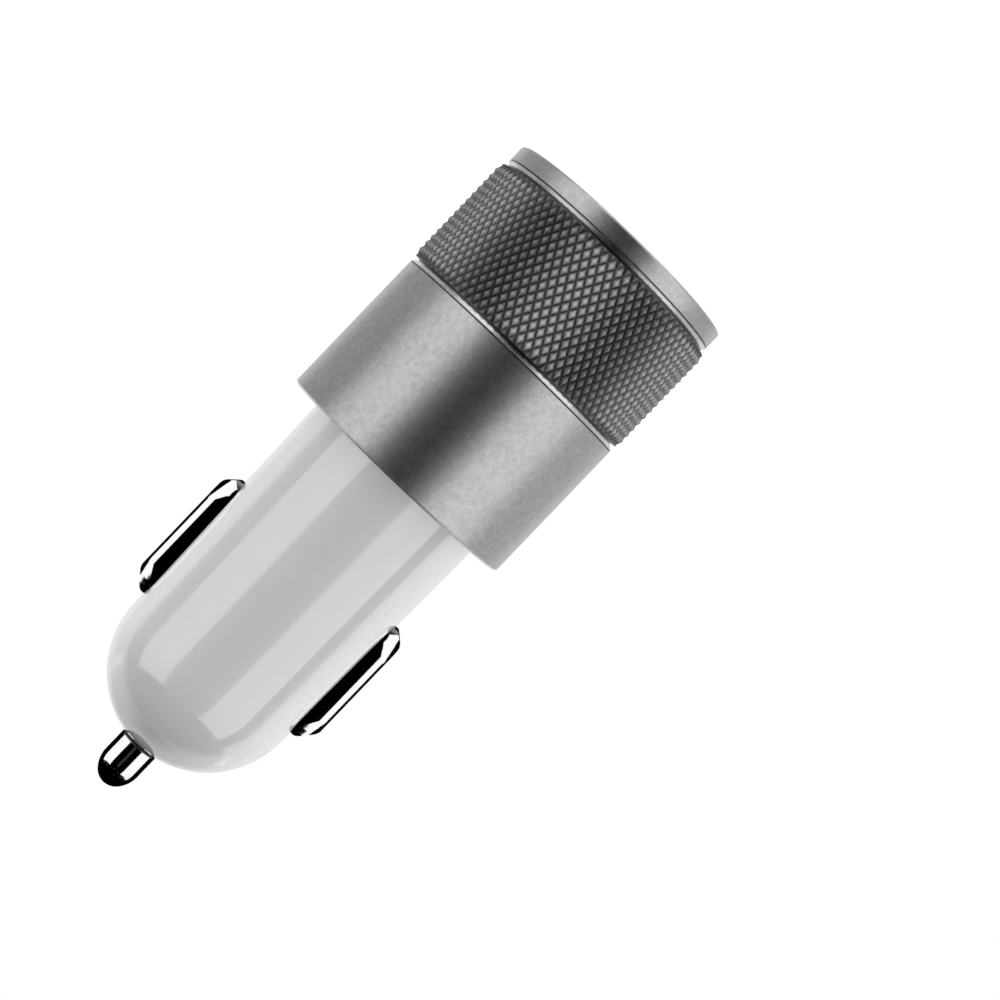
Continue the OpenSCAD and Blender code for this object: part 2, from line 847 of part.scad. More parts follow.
// Height of the spring's wire after a number of turns: the first and last
// turns lie closed, and the turns between rise evenly
function coil_height(t) =
    let (
        low = seat_z1 + wire_d / 2 + spring_gap,
        high = collar_z0 - wire_d / 2 - spring_gap,
        rise = (high - low - 2 * closed_pitch) / (coil_turns - 2)
    )
        low + min(t, 1) * closed_pitch + max(0, min(t - 1, coil_turns - 2)) * rise
            + max(0, t - coil_turns + 1) * closed_pitch;

module tip_spring() {
    sides = 8;
    per_turn = 16;
    rings = per_turn * coil_turns;
    points = [
        for (k = [0 : rings])
            let (t = k / per_turn, a = 360 * t, z = coil_height(t))
                for (s = [0 : sides - 1])
                    let (b = 360 * s / sides)
                        ring_point(coil_d / 2 + wire_d / 2 * cos(b), a, z + wire_d / 2 * sin(b))
    ];
    side_faces = [
        for (k = [0 : rings - 1])
            for (s = [0 : sides - 1])
                let (a = k * sides + s, b = k * sides + (s + 1) % sides)
                    each [[a, b, b + sides], [a, b + sides, a + sides]]
    ];
    color([0.7, 0.71, 0.73])
        polyhedron(
            points = points,
            faces = concat(
                side_faces,
                [[for (s = [sides - 1 : -1 : 0]) s]],
                [[for (s = [0 : sides - 1]) rings * sides + s]]
            ),
            convexity = 6
        );
}

module spring_seat() {
    color([0.8, 0.66, 0.36]) {
        translate([0, 0, seat_z0])
            cylinder(h = seat_t, r = seat_d / 2);
        translate([0, 0, seat_z1 - eps])
            cylinder(h = boss_h + eps, r1 = boss_r, r2 = boss_end_r);
        for (y = [-1, 1])
            translate([0, y * (part_y + seat_leg_t / 2), seat_z0 - seat_leg / 2 + eps])
                cube([seat_leg_w, seat_leg_t, seat_leg], center = true);
    }
}

// Side outline of a side contact, in distance from the axis and height: two
// slopes with rounded shoulders up to the outer run
function contact_profile(inset) =
    let (
        r = contact_r - inset,
        z0 = contact_z0 + inset,
        z1 = contact_z1 - inset,
        low_r = barrel_out(contact_z0) + contact_step - inset,
        high_r = barrel_out(contact_z1) + contact_step - inset,
        angle_a = atan2(contact_r - barrel_out(contact_z0) - contact_step, contact_ramp_a),
        angle_b = atan2(contact_r - barrel_out(contact_z1) - contact_step, contact_ramp_b),
        round = contact_shoulder_r - inset,
        cut_a = round * tan(angle_a / 2),
        cut_b = round * tan(angle_b / 2)
    )
        concat(
            [[contact_in_r, z0], [low_r, z0]],
            arc([r - round, z0 + contact_ramp_a + cut_a], round, -angle_a, 0, 6),
            arc([r - round, z1 - contact_ramp_b - cut_b], round, 0, angle_b, 6),
            [[high_r, z1], [contact_in_r, z1]]
        );

// Round bar that gets thinner towards both ends along one long curve, over a
// block with flat flanks
module contact_bow(inset) {
    half = contact_len / 2 + eps;
    curve_r = contact_bow_r - inset;
    turn = asin(half / curve_r);
    rotate_extrude()
        polygon(concat(
            [[0, -half]],
            arc([bow_mid_r - contact_bow_r, 0], curve_r, -turn, turn, 20),
            [[0, half]]
        ));
    box([-contact_r, -contact_w / 2, -half], [0, contact_w / 2, half]);
}

// Solid form of a side contact, or of its hollow when inset by the sheet
module contact_form(inset) {
    w = contact_w - 2 * inset;
    edge = contact_edge_r - inset;
    intersection() {
        rotate([90, 0, 0])
            linear_extrude(height = w, center = true)
                polygon(contact_profile(inset));
        translate([0, 0, contact_z0 - eps])
            linear_extrude(height = contact_len + 2 * eps) {
                translate([contact_r - inset - edge, w / 2 - edge])
                    circle(r = edge, $fn = 48);
                translate([contact_r - inset - edge, -w / 2 + edge])
                    circle(r = edge, $fn = 48);
                translate([0, -w / 2])
                    square([contact_r - inset - edge, w]);
                translate([0, -w / 2 + edge])
                    square([contact_r - inset, w - 2 * edge]);
            }
        translate([0, 0, contact_mid_z])
            rotate([0, 90, 0])
                linear_extrude(height = contact_r + eps)
                    round_rect(contact_len - 2 * inset, w, plan_corner - inset);
        translate([contact_r - contact_w / 2, 0, contact_mid_z])
            contact_bow(inset);
    }
}

// Curved foot that lies behind the barrel's wall past one end of the window
module contact_foot(low_z, high_z, r) {
    intersection() {
        translate([0, 0, low_z])
            difference() {
                cylinder(h = high_z - low_z, r = r);
                translate([0, 0, -eps])
                    cylinder(h = high_z - low_z + 2 * eps, r = r - contact_t);
            }
        box([0, -contact_w / 2, low_z - eps], [far, contact_w / 2, high_z + eps]);
    }
}

module side_contact(side) {
    foot_a_r = barrel_in(contact_z0) - foot_gap;
    foot_b_r = barrel_in(contact_z1 + foot_len) - foot_gap;
    tail_y = board_y + tail_gap;
    color([0.8, 0.81, 0.82])
        mirror([side < 0 ? 1 : 0, 0, 0]) {
            difference() {
                contact_form(0);
                contact_form(contact_t);
                translate([0, 0, contact_z0 - eps])
                    cylinder(h = contact_len + 2 * eps, r = foot_b_r - contact_t);
            }
            contact_foot(contact_z0 - foot_len, contact_z0 + plan_corner, foot_a_r);
            contact_foot(contact_z1 - plan_corner, contact_z1 + foot_len, foot_b_r);
            box(
                [board_w / 2 - tail_reach, -tail_y - contact_t, contact_z0 - foot_len],
                [foot_a_r - contact_t / 2, -tail_y, contact_z0 - foot_len + tail_w]
            );
        }
}

// Stands a part that was drawn upright on the board, at a place along it
module on_board(front, x, z) {
    side_of_board(front)
        translate([x, part_y, z])
            rotate([-90, 0, 0])
                children();
}

// Drum of the inductor: two flanges and a core between them
module inductor_core() {
    edge = 0.2;
    drum_r = coil_core_d / 2;
    neck_r = coil_neck_d / 2;
    flange_z1 = coil_core_h - coil_flange_t;
    color([0.25, 0.25, 0.26])
        on_board(true, 0, inductor_z)
            rotate_extrude()
                polygon([
                    [0, 0],
                    [drum_r - edge, 0],
                    [drum_r, edge],
                    [drum_r, coil_flange_t],
                    [neck_r, coil_flange_t],
                    [neck_r, flange_z1],
                    [drum_r, flange_z1],
                    [drum_r, coil_core_h - edge],
                    [drum_r - edge, coil_core_h],
                    [0, coil_core_h]
                ]);
}

// Copper winding on the drum, with one round for each turn at its outside
module inductor_winding() {
    gap = 0.04;
    inset = 0.1;
    in_r = coil_neck_d / 2 + gap;
    low = coil_flange_t + gap;
    wound_h = coil_core_h - 2 * low;
    pitch = wound_h / coil_layers;
    mid_r = coil_core_d / 2 - inset - pitch / 2;
    color([0.75, 0.42, 0.22])
        on_board(true, 0, inductor_z)
            rotate_extrude() {
                translate([in_r, low])
                    square([mid_r - in_r, wound_h]);
                for (i = [0 : coil_layers - 1])
                    translate([mid_r, low + (i + 0.5) * pitch])
                        circle(r = pitch / 2, $fn = 24);
            }
}

// Can capacitor on its square foot, with the rolled groove and two tabs
module can_capacitor() {
    foot = can_foot;
    foot_h = 1;
    cut = 1;
    neck = 0.25;
    r = cap_d / 2;
    groove_z = foot_h + 0.5;
    groove_slope = 0.2;
    groove_land = 0.25;
    edge = 0.3;
    rolled = 0.1;
    tab = [0.9, 0.8, 0.25];
    linear_extrude(height = foot_h)
        polygon([
            [-foot / 2, -foot / 2 + cut],
            [-foot / 2 + cut, -foot / 2],
            [foot / 2, -foot / 2],
            [foot / 2, foot / 2],
            [-foot / 2 + cut, foot / 2],
            [-foot / 2, foot / 2 - cut]
        ]);
    rotate_extrude()
        polygon([
            [0, foot_h - eps],
            [r, foot_h - eps],
            [r, groove_z],
            [r - neck, groove_z + groove_slope],
            [r - neck, groove_z + groove_slope + groove_land],
            [r, groove_z + 2 * groove_slope + groove_land],
            [r, cap_h - edge],
            [r - edge, cap_h],
            [r - 2 * edge, cap_h],
            [r - 2 * edge - rolled, cap_h - rolled],
            [0, cap_h - rolled]
        ]);
    for (side = [-1, 1])
        translate([side * foot / 2, 0, tab[2] / 2])
            cube(tab, center = true);
}

module input_capacitor() {
    color([0.75, 0.76, 0.78])
        on_board(false, 0, input_cap_z)
            can_capacitor();
}

module output_capacitor() {
    color([0.75, 0.76, 0.78])
        on_board(true, -output_cap_x, output_cap_z)
            can_capacitor();
}

// Side view of one bent lead, from the body's side down to its foot
module lead_outline(reach, top) {
    lead_t = 0.16;
    polygon([
        [-0.1, top],
        [reach * 0.45, top],
        [reach * 0.6, lead_t],
        [reach, lead_t],
        [reach, 0],
        [reach * 0.5, 0],
        [reach * 0.35, top - lead_t],
        [-0.1, top - lead_t]
    ]);
}

// Chip with bent leads along two sides
module lead_chip(l, w, h, per_side, pitch) {
    lead_w = pitch / 3;
    stand_off = 0.1;
    lead_top = stand_off + h / 2;
    taper = 0.12;
    translate([0, 0, stand_off])
        linear_extrude(height = h - stand_off)
            polygon([
                [-l / 2 + taper, -w / 2],
                [l / 2 - taper, -w / 2],
                [l / 2, -w / 2 + taper],
                [l / 2, w / 2 - taper],
                [l / 2 - taper, w / 2],
                [-l / 2 + taper, w / 2],
                [-l / 2, w / 2 - taper],
                [-l / 2, -w / 2 + taper]
            ]);
    for (side = [0, 180])
        rotate([0, 0, side])
            for (i = [0 : per_side - 1])
                translate([(i - (per_side - 1) / 2) * pitch + lead_w / 2, w / 2, 0])
                    rotate([90, 0, -90])
                        mirror([1, 0, 0])
                            linear_extrude(height = lead_w)
                                lead_outline(lead_reach, lead_top);
}

module converter_chip() {
    color([0.1, 0.1, 0.11])
        on_board(false, 0, chip_z)
            lead_chip(chip_l, chip_w, chip_h, 4, chip_pitch);
}

module charge_chip() {
    color([0.1, 0.1, 0.11])
        on_board(true, small_chip_x, small_chip_z)
            lead_chip(small_chip_l, small_chip_w, small_chip_h, 3, small_chip_pitch);
}

module rectifier_diode() {
    tab_t = 0.2;
    tab_w = 1.5;
    stand_off = 0.1;
    color([0.12, 0.12, 0.13])
        on_board(false, 0, diode_z) {
            translate([0, 0, (diode_h + stand_off) / 2])
                cube([diode_l, diode_w, diode_h - stand_off], center = true);
            for (side = [-1, 1])
                translate([side * (diode_l / 2 + tab_t / 2), 0, diode_h / 4])
                    cube([tab_t + eps, tab_w, diode_h / 2], center = true);
        }
}

// Fuse or small chip part: a body between two slightly larger end caps
module end_cap_part(l, w, h, cap_l) {
    proud = 0.05;
    translate([0, 0, h / 2])
        cube([l - 2 * cap_l + 2 * eps, w, h - 2 * proud], center = true);
    for (side = [-1, 1])
        translate([side * (l - cap_l) / 2, 0, h / 2])
            cube([cap_l, w + 2 * proud, h], center = true);
}

module input_fuse() {
    color([0.88, 0.87, 0.82])
        on_board(true, 0, fuse_z)
            rotate([0, 0, 90])
                end_cap_part(fuse_l, fuse_w, fuse_w, fuse_cap_l);
}

// One small chip part, its length along the board
module small_part(front, x, z, h) {
    on_board(front, x, z)
        rotate([0, 0, 90])
            end_cap_part(chip2_l, chip2_w, h, chip2_cap_l);
}

// Small resistors in a row past the charge chip and beside the inductor
module chip_resistors() {
    color([0.15, 0.15, 0.17]) {
        for (i = [0 : 3])
            small_part(true, row_x + i * (chip2_w + row_gap), row_z, resistor_h);
        for (side = [-1, 1])
            small_part(true, side * edge_part_x, inductor_z, resistor_h);
    }
}

// Small capacitors on the back of the board, past the socket and beside the chip
module chip_capacitors() {
    color([0.68, 0.56, 0.42]) {
        for (i = [-2 : 2])
            small_part(false, i * (chip2_w + back_row_gap), back_row_z, small_cap_h);
        for (side = [-1, 1])
            small_part(false, side * edge_part_x, chip_z, small_cap_h);
    }
}

sleeve();
barrel();
face_plate();
circuit_board();
usb_shell(true);  // usb_shell_front
usb_shell(false);  // usb_shell_back
usb_tongue(true);  // usb_tongue_front
usb_tongue(false);  // usb_tongue_back
usb_contacts(true);  // usb_contacts_front
usb_contacts(false);  // usb_contacts_back
tip_contact();
tip_spring();
spring_seat();
side_contact(-1);  // side_contact_left
side_contact(1);  // side_contact_right
inductor_core();
inductor_winding();
input_capacitor();
output_capacitor();
converter_chip();
charge_chip();
rectifier_diode();
input_fuse();
chip_resistors();
chip_capacitors();
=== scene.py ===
"""Looks of a car charger plug: finishes for its metal sleeve, white barrel, sprung contacts and sockets.

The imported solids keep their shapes, but for the tip's spring, which is drawn anew as a smooth coil.
Each piece gets a finish that is worked out from its own coordinates. A photographic tent stands round
the plug, and the camera looks from where the photograph was taken.
"""

import math

import bpy
import numpy as np
from mathutils import Matrix, Vector


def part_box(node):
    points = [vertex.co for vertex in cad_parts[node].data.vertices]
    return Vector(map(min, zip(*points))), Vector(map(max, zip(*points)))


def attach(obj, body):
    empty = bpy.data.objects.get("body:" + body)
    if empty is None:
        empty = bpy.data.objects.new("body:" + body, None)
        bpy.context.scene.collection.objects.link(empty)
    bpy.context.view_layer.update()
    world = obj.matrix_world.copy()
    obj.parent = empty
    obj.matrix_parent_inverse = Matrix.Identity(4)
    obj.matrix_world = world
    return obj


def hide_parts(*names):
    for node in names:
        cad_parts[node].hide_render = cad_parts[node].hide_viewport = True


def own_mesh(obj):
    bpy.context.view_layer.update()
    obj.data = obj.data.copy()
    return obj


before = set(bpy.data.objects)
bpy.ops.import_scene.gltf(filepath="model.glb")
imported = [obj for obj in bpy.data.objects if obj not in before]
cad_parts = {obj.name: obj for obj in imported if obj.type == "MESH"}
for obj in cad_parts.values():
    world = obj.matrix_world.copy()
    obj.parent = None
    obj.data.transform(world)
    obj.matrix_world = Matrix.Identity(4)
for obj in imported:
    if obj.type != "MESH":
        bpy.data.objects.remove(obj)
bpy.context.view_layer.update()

MM = 0.001

# Heights on the sleeve, from the rim that the plug stands on. A score's dark line is painted shade, laid on
# softly and a little wider than it is cut, and the relief between the two SOFTENED heights is rounded by
# blasting
RIM_SCORE = 1.82 * MM
RIM_BEVEL = (1.95 * MM, 2.30 * MM)
KNURL = (2.55 * MM, 14.40 * MM)
FAR_BEVEL = (14.65 * MM, 15.00 * MM)
FAR_SCORE = 15.13 * MM
SCORE_SOFT = 0.12 * MM
SOFTENED = (1.90 * MM, 15.10 * MM)
SLEEVE_END = 30.80 * MM
END_BEVEL = 0.22 * MM

# Radii on the sleeve
SMOOTH_R = 13.05 * MM
RIM_R = 12.85 * MM
GROOVE_R = 12.50 * MM
KNURL_ROOT_R = 12.94 * MM
KNURL_PEAK_R = 13.30 * MM
BORE_R = 11.50 * MM

# The tip's rounded lower edge between its head and the nose, painted dark as the shade of the nose's hole, and
# how far the tip slides in
NECK_SHADE = (65.00 * MM, 66.15 * MM)

# Places of the parts on the board, for the masks that tell their bodies from their leads and caps
BOARD_HALF = (0.76 * MM, 0.79 * MM)
FRONT_CAN_X = -4.40 * MM
CAN_FOOT = 6.60 * MM
CAN_FOOT_Y = (1.80 * MM, 1.86 * MM)
CONVERTER_BODY = (38.85 * MM, 42.75 * MM)
CHARGE_BODY = (18.65 * MM, 20.25 * MM)
DIODE_START = 44.10 * MM
DIODE_HALF = 2.175 * MM
RESISTOR_ROWS = (23.50 * MM, 36.80 * MM)
CAPACITOR_ROWS = (18.60 * MM, 40.80 * MM)
BODY_HALF = 0.60 * MM
FUSE_CAP = 1.10 * MM

# Soft edge of a painted mask
EDGE = 0.01 * MM

# Cells to the metre of the grains that several finishes share
FINE_GRAIN = 6500
GRAIN = 5200

# Darkest and lightest tone of tin and of the small parts' bodies
TIN_TONES = ((0.60, 0.61, 0.62), (0.76, 0.765, 0.77))
FUSE_TONES = ((0.78, 0.76, 0.68), (0.86, 0.85, 0.79))
RESISTOR_TONES = ((0.02, 0.02, 0.025), (0.05, 0.05, 0.06))
CAPACITOR_TONES = ((0.38, 0.26, 0.15), (0.5, 0.36, 0.22))

# The tent: a sphere, and the elevations in degrees of the panels that stand round the plug
TENT_R = 450 * MM
TENT_HEIGHT = 30 * MM
PANEL_STEPS = 25
UPRIGHT = (-60, 40)
CHROME_UPRIGHT = (-38, 34)

# Azimuths in degrees where the two strips begin, are at full strength and end, and where the panel behind
# the plug takes over from those at its sides
STRIP_START = 29
STRIP_FULL = 33
LEFT_STRIP_END = -76
RIGHT_STRIP_END = 78
SIDE_END = 140
SIDES = (("left", -1), ("right", 1))

# Diffuse light from the world, and the elevation of the four lamps in degrees
AMBIENT = 0.34
LAMP_ELEVATION = 4

# The floor: its own light, the light that the eye sees on top of that, its paint, half its side in metres
# and the gap under the rim
FLOOR_GLOW = 0.08
FLOOR_GLOW_TO_EYE = 0.74
FLOOR_PAINT = (0.8, 0.8, 0.8)
FLOOR_HALF = 3.0
FLOOR_GAP = 0.02 * MM


class Value:
    """A value in a material. Arithmetic on it, from either side, adds the Math nodes it needs."""

    def __init__(self, graph, socket):
        self.graph = graph
        self.socket = socket

    def math(self, operation, *values):
        return self.graph.add("Math", {"operation": operation}, dict(enumerate(values)))

    def __add__(self, other):
        return self.math("ADD", self, other)

    __radd__ = __add__

    def __mul__(self, other):
        return self.math("MULTIPLY", self, other)

    __rmul__ = __mul__

    def __sub__(self, other):
        return self.math("SUBTRACT", self, other)

    def __rsub__(self, other):
        return self.math("SUBTRACT", other, self)

    def __pow__(self, other):
        return self.math("POWER", self, other)

    def __abs__(self):
        return self.math("ABSOLUTE", self)

    def __lt__(self, other):
        return self.math("LESS_THAN", self, other)


class Graph:
    """The nodes of one material or world. Every node comes from add()."""

    def __init__(self, tree):
        self.tree = tree
        tree.nodes.clear()

    def add(self, kind, settings=None, inputs=None, out=0):
        """Adds one node: its settings first, then the values or links of its sockets. Gives one output."""
        node = self.tree.nodes.new("ShaderNode" + kind)
        for key, value in (settings or {}).items():
            setattr(node, key, value)
        for key, value in (inputs or {}).items():
            socket = node.inputs[key]
            if isinstance(value, Value):
                self.tree.links.new(value.socket, socket)
            elif isinstance(value, tuple) and len(socket.default_value) == 4:
                socket.default_value = (*value, 1.0)
            else:
                socket.default_value = value
        return Value(self, node.outputs[out]) if node.outputs else node

    def place(self):
        """The point on the piece, in metres, and its x, y and z."""
        point = self.add("TexCoord", out="Object")
        axes = [self.add("SeparateXYZ", None, {0: point}, out=i) for i in range(3)]
        return point, *axes

    def smooth(self, value, low, high):
        """0 below low and 1 above high, with a smooth step between."""
        settings = {"interpolation_type": "SMOOTHSTEP", "clamp": True}
        return self.add("MapRange", settings, {"Value": value, "From Min": low, "From Max": high})

    def band(self, value, low, high, soft):
        """1 between low and high and 0 outside, with soft edges."""
        return self.smooth(value, low - soft, low + soft) * (1 - self.smooth(value, high - soft, high + soft))

    def noise(self, point, scale, detail=2.0, roughness=0.5):
        """Smooth noise from 0 to 1 in cells of 1 / scale metres."""
        inputs = {"Vector": point, "Scale": scale, "Detail": detail, "Roughness": roughness}
        return self.add("TexNoise", {"noise_dimensions": "3D"}, inputs, out="Fac")

    def stretched(self, point, factors):
        """The point with each axis scaled, for a grain that runs one way."""
        return self.add("VectorMath", {"operation": "MULTIPLY"}, {0: point, 1: factors})

    def mix(self, share, first, second):
        """The first colour where share is 0 and the second where it is 1."""
        settings = {"data_type": "RGBA", "blend_type": "MIX", "clamp_factor": True}
        return self.add("Mix", settings, {0: share, 6: first, 7: second}, out=2)

    def shade(self, colour, factor):
        """A colour made darker or lighter by a factor."""
        grey = self.add("CombineXYZ", None, {0: factor, 1: factor, 2: factor})
        settings = {"data_type": "RGBA", "blend_type": "MULTIPLY"}
        return self.add("Mix", settings, {0: 1.0, 6: colour, 7: grey}, out=2)

    def bump(self, height, depth, strength=1.0):
        """A normal from a height field of 0 to 1 that is depth metres deep."""
        return self.add("Bump", None, {"Strength": strength, "Distance": depth, "Height": height})

    def show(self, kind, surface):
        """Ends the graph in its Material or World output."""
        self.add("Output" + kind, None, {"Surface": surface})


def finish(name, build, **constants):
    """A material whose build(graph) gives what varies, and whose constants go on the shader's own sockets."""
    material = bpy.data.materials.new(name)
    material.use_nodes = True
    graph = Graph(material.node_tree)
    sockets = {key.replace("_", " "): value for key, value in constants.items()}
    graph.show("Material", graph.add("BsdfPrincipled", None, {**sockets, **build(graph)}))
    return material


def radius_of(x, y):
    """Distance from the plug's axis."""
    return (x * x + y * y) ** 0.5


def satin_aluminium(graph):
    """Bead-blasted grey aluminium whose cut bevels are bare metal painted lighter for their highlight lines,
    with painted shade in its channels, its score lines and the hollows of its knurl.

    Blasting softens the knurl and the bevels beside it, so part of their relief is taken out of the shading.
    """
    point, x, y, z = graph.place()
    r = radius_of(x, y)
    outside = graph.smooth(r, BORE_R + 0.4 * MM, BORE_R + 0.6 * MM)
    knurl = graph.band(z, *KNURL, EDGE) * outside
    # The cut bevels and the sleeve's end edge are bare metal, painted lighter still for the highlight lines they
    # catch
    cuts = graph.band(z, *RIM_BEVEL, 2 * EDGE) + graph.band(z, *FAR_BEVEL, 2 * EDGE)
    end = graph.smooth(z, SLEEVE_END - END_BEVEL, SLEEVE_END - END_BEVEL / 2)
    bright = (cuts + end) * outside
    # Painted shade: the channel at each end of the knurl and the two score lines are painted near black
    groove_shade = (1 - graph.smooth(r, GROOVE_R, GROOVE_R + 0.1 * MM)) * outside
    rim_line, far_line = (graph.band(z, score, score, SCORE_SOFT) for score in (RIM_SCORE, FAR_SCORE))
    line = rim_line + far_line
    # Painted shade in the knurl's hollows, darkest at the root
    pit_shade = 1 - graph.smooth(r, KNURL_ROOT_R, KNURL_PEAK_R)
    grain = graph.noise(point, FINE_GRAIN, 3.0, 0.6)
    cloud = graph.noise(point, 1700, 3.0, 0.6)
    tone = 0.40 + 0.64 * grain + 0.56 * cloud
    colour = graph.mix(bright, (0.54, 0.54, 0.55), (0.74, 0.74, 0.75))
    colour = graph.mix(knurl, colour, (0.59, 0.59, 0.60))
    colour = graph.mix(knurl * pit_shade ** 0.9, colour, (0.09, 0.09, 0.094))
    colour = graph.mix(groove_shade * 0.9 + line * outside * 2.8, colour, (0.03, 0.03, 0.033))
    level_r = RIM_R + (SMOOTH_R - RIM_R) * graph.smooth(z, *KNURL)
    relief = (0.5 - 0.22 * knurl) * (level_r - r) * graph.band(z, *SOFTENED, EDGE) * outside
    blasting = grain * (0.012 * MM) * (1 - bright)
    return {
        "Base Color": graph.shade(colour, tone),
        "Roughness": 0.29 + 0.06 * grain - 0.1 * bright + 0.13 * knurl,
        "Normal": graph.bump(blasting + relief, 1.0),
    }


def gloss_plastic(graph):
    """Polished white moulding with the faint waviness of a moulded wall."""
    point, _, _, _ = graph.place()
    wave = graph.noise(point, 260, 1.0)
    grain = graph.noise(point, 2600, 2.0)
    return {
        "Base Color": graph.mix(wave, (0.86, 0.86, 0.855), (0.89, 0.89, 0.885)),
        "Roughness": 0.13 + 0.05 * grain,
        "Normal": graph.bump(wave + 0.02 * grain, 0.02 * MM, 0.5),
    }


def satin_plastic(graph):
    """White plastic with the fine spark-eroded texture of a face plate."""
    point, _, _, _ = graph.place()
    grain = graph.noise(point, GRAIN, 3.0, 0.65)
    cloud = graph.noise(point, 300, 2.0)
    return {
        "Base Color": graph.mix(cloud, (0.84, 0.84, 0.835), (0.88, 0.88, 0.875)),
        "Roughness": 0.42 + 0.14 * grain,
        "Normal": graph.bump(grain, 0.012 * MM),
    }


def polished_chrome(graph):
    """Bright nickel-chrome plate with a trace of polishing haze, rougher where the tip meets the nose and
    painted dark there as the shade of the nose's hole.
    """
    point, _, _, z = graph.place()
    haze = graph.noise(graph.stretched(point, (1.0, 1.0, 0.2)), 2400, 3.0, 0.6)
    cloud = graph.noise(point, 350, 2.0)
    # Painted shade: the tip's neck, where it comes out of the nose, goes near black
    neck_shade = graph.band(z, *NECK_SHADE, 0.08 * MM)
    plate = graph.mix(cloud, (0.88, 0.885, 0.89), (0.94, 0.945, 0.95))
    return {
        "Base Color": graph.mix(neck_shade, plate, (0.10, 0.10, 0.105)),
        "Roughness": 0.05 + 0.05 * haze + 0.3 * neck_shade,
        "Normal": graph.bump(haze, 0.001 * MM),
    }


def drawn_steel(graph):
    """Tin-plated sheet or wire, with the fine lines of its rolling along the plug."""
    point, _, _, _ = graph.place()
    lines = graph.noise(graph.stretched(point, (1.0, 1.0, 0.06)), GRAIN, 3.0, 0.6)
    return {
        "Base Color": graph.mix(lines, (0.62, 0.63, 0.64), (0.78, 0.785, 0.79)),
        "Roughness": 0.24 + 0.16 * lines,
        "Normal": graph.bump(lines, 0.006 * MM),
    }


def gilt(graph):
    """Gold flash over nickel, a little paler where the plug wipes it."""
    point, _, _, z = graph.place()
    wiped = graph.band(z, 5.0 * MM, 9.0 * MM, 1.0 * MM)
    lines = graph.noise(graph.stretched(point, (1.0, 1.0, 0.08)), 6000, 2.0)
    gold = graph.mix(lines, (0.80, 0.58, 0.24), (0.90, 0.72, 0.38))
    return {
        "Base Color": graph.mix(wiped * 0.4, gold, (0.88, 0.80, 0.60)),
        "Roughness": 0.2 + 0.12 * lines,
        "Normal": graph.bump(lines, 0.004 * MM),
    }


def stamped_brass(graph):
    """Stamped brass with a dull bloom."""
    point, _, _, _ = graph.place()
    bloom = graph.noise(point, 900, 4.0, 0.6)
    return {
        "Base Color": graph.mix(bloom, (0.62, 0.44, 0.18), (0.82, 0.64, 0.32)),
        "Roughness": 0.26 + 0.2 * bloom,
        "Normal": graph.bump(bloom, 0.004 * MM),
    }


def enamelled_wire(graph):
    """Copper winding under clear enamel, with long streaks along the wire."""
    point, _, _, _ = graph.place()
    shimmer = graph.noise(graph.stretched(point, (1.0, 0.15, 1.0)), 3800, 3.0)
    return {
        "Base Color": graph.mix(shimmer, (0.42, 0.16, 0.06), (0.74, 0.34, 0.15)),
        "Roughness": 0.22 + 0.12 * shimmer,
        "Normal": graph.bump(shimmer, 0.01 * MM),
    }


def board_laminate(graph):
    """Green solder mask over copper tracks and a woven base, with a pale sawn edge."""
    point, _, y, _ = graph.place()
    face = graph.smooth(abs(y), *BOARD_HALF)
    flat = graph.stretched(point, (1.0, 0.0, 1.0))
    tracks = graph.add("TexBrick", None, {"Vector": flat, "Scale": 260.0}, out=1)
    weave = graph.noise(graph.stretched(point, (1.0, 1.0, 3.0)), 2800, 2.0)
    mask = graph.mix(weave, (0.02, 0.14, 0.06), (0.03, 0.20, 0.09))
    covered = graph.mix(tracks * 0.5, mask, (0.05, 0.30, 0.14))
    return {
        "Base Color": graph.mix(face, (0.42, 0.40, 0.24), covered),
        "Roughness": 0.55 - 0.25 * face + 0.08 * weave,
        "Normal": graph.bump(tracks * 0.6 + weave * 0.2, 0.02 * MM),
    }


def ferrite(graph):
    """Ground ferrite: near black, with a fine dry grain."""
    point, _, _, _ = graph.place()
    grain = graph.noise(point, FINE_GRAIN, 4.0, 0.7)
    return {
        "Base Color": graph.mix(grain, (0.05, 0.05, 0.055), (0.11, 0.11, 0.115)),
        "Roughness": 0.55 + 0.2 * grain,
        "Normal": graph.bump(grain, 0.01 * MM),
    }


def capacitor_can(graph):
    """Drawn aluminium can on a black moulded foot, with a tinned tab at each side of the foot.

    The can in front of the board stands to one side of the axis and the can behind it stands on the axis.
    """
    point, x, y, _ = graph.place()
    middle = FRONT_CAN_X * (y < 0)
    tab = graph.smooth(abs(x - middle), CAN_FOOT / 2, CAN_FOOT / 2 + 2 * EDGE)
    foot = (1 - graph.smooth(abs(y), *CAN_FOOT_Y)) * (1 - tab)
    lines = graph.noise(graph.stretched(point, (1.0, 0.06, 1.0)), GRAIN, 3.0)
    can = graph.mix(lines, (0.62, 0.63, 0.65), (0.76, 0.77, 0.79))
    return {
        "Base Color": graph.mix(foot, can, (0.03, 0.03, 0.033)),
        "Metallic": 1 - foot,
        "Roughness": 0.26 + 0.14 * lines + 0.2 * foot,
        "Normal": graph.bump(lines, 0.006 * MM),
    }


def moulded_epoxy(graph):
    """Black chip body with a dull grain. What stands out past the bodies is tinned: leads and tabs."""
    point, x, _, z = graph.place()
    chips = graph.band(z, *CONVERTER_BODY, EDGE) + graph.band(z, *CHARGE_BODY, EDGE)
    past_diode = graph.smooth(abs(x), DIODE_HALF, DIODE_HALF + EDGE)
    diode = graph.smooth(z, DIODE_START - EDGE, DIODE_START) * (1 - past_diode)
    lead = 1 - chips - diode
    grain = graph.noise(point, GRAIN, 3.0, 0.65)
    epoxy = graph.mix(grain, (0.022, 0.022, 0.025), (0.05, 0.05, 0.055))
    return {
        "Base Color": graph.mix(lead, epoxy, graph.mix(grain, *TIN_TONES)),
        "Metallic": lead,
        "Roughness": 0.5 - 0.2 * lead + 0.15 * grain,
        "Normal": graph.bump(grain, 0.012 * MM),
    }


